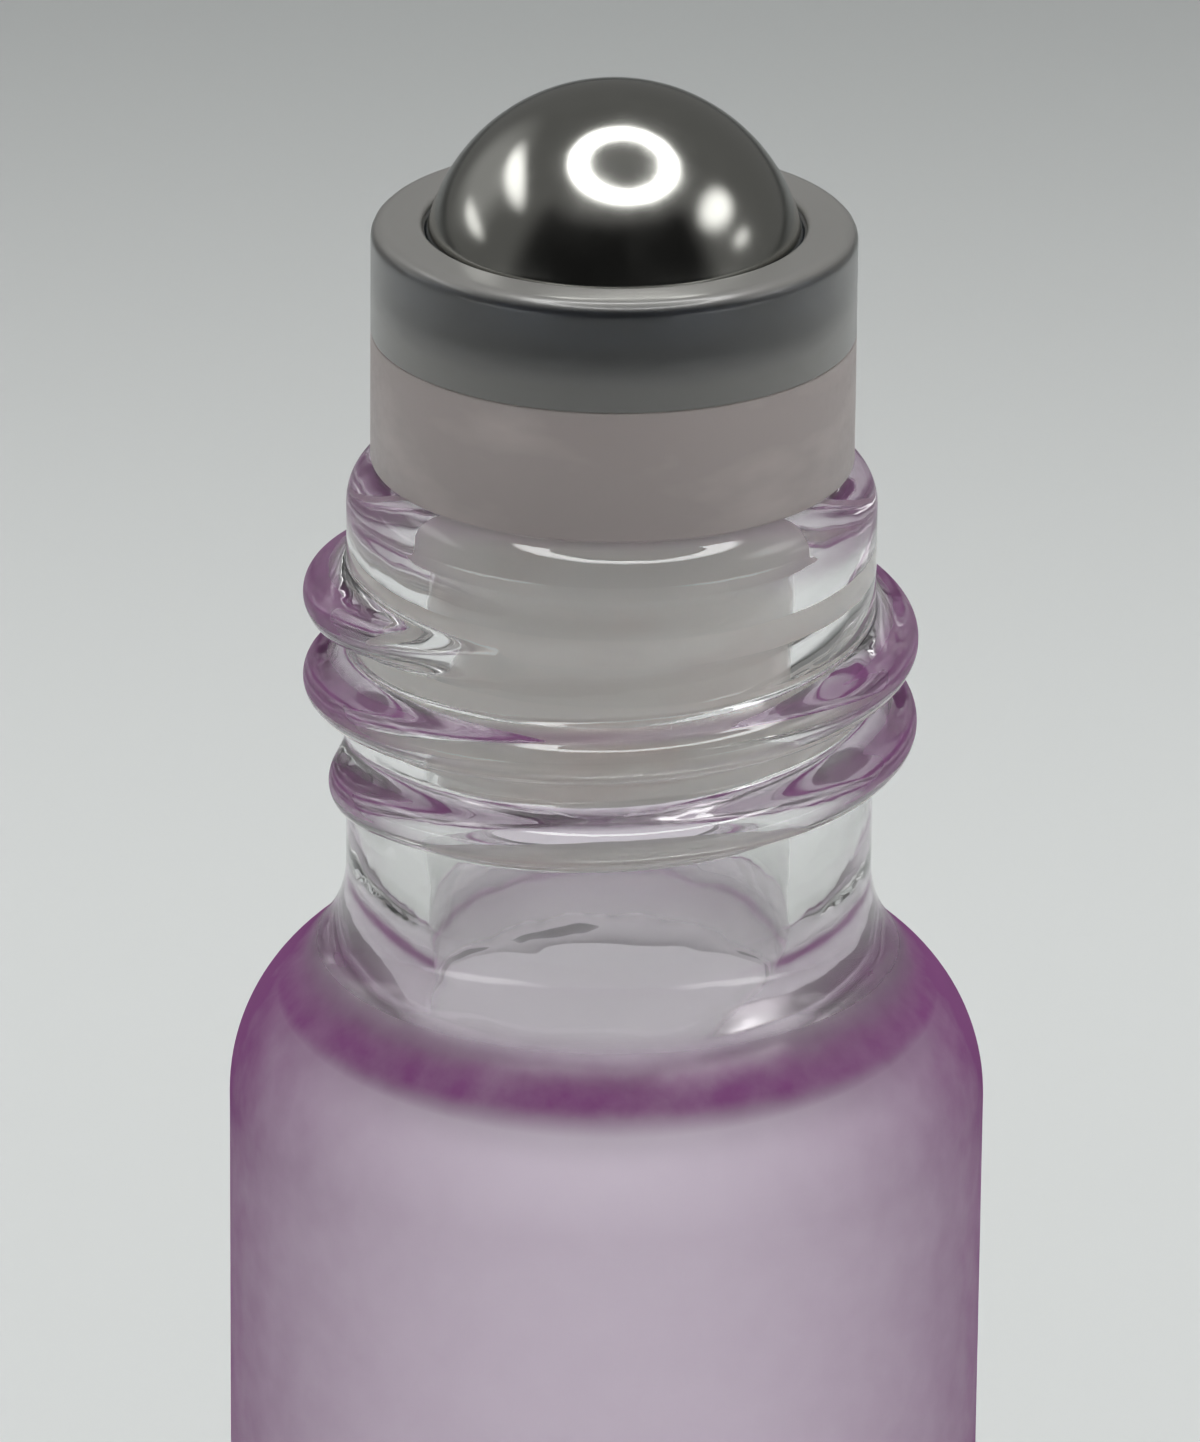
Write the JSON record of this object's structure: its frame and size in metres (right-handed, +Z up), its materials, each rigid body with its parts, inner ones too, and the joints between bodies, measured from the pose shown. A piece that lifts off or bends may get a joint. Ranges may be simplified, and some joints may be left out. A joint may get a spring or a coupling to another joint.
{
  "type": "roll-on bottle",
  "caption": "Slim glass bottle with a coated body, a threaded neck and a pressed-in roller fitment whose steel ball rolls liquid onto the skin.",
  "frame": {"origin": "centre of the base plane that the bottle stands on", "axes": "+Z up along the bottle's axis, -Y towards the front"},
  "size_m": [0.02, 0.02, 0.0841],
  "materials": {
    "coated_glass": "clear glass, with a frosted lilac coat on the body that fades out below the neck",
    "milky_plastic": "satin, milky natural plastic",
    "smoky_plastic": "glossy, translucent smoky grey plastic",
    "polished_steel": "mirror-polished stainless steel"
  },
  "bodies": {
    "bottle": {"glass_bottle": "coated_glass"},
    "fitment": {"roller_plug": "milky_plastic", "ball_retainer": "smoky_plastic"},
    "ball": {"roller_ball": "polished_steel"}
  },
  "joints": [
    {"name": "fitment_pull", "type": "slide", "parent": "bottle", "child": "fitment", "axis": [0, 0, 1], "range_m": [0, 0.014]},
    {"name": "ball_roll", "type": "hinge", "parent": "fitment", "child": "ball", "pos_m": [0, 0, 0.07906], "axis": [1, 0, 0], "continuous": true}
  ]
}
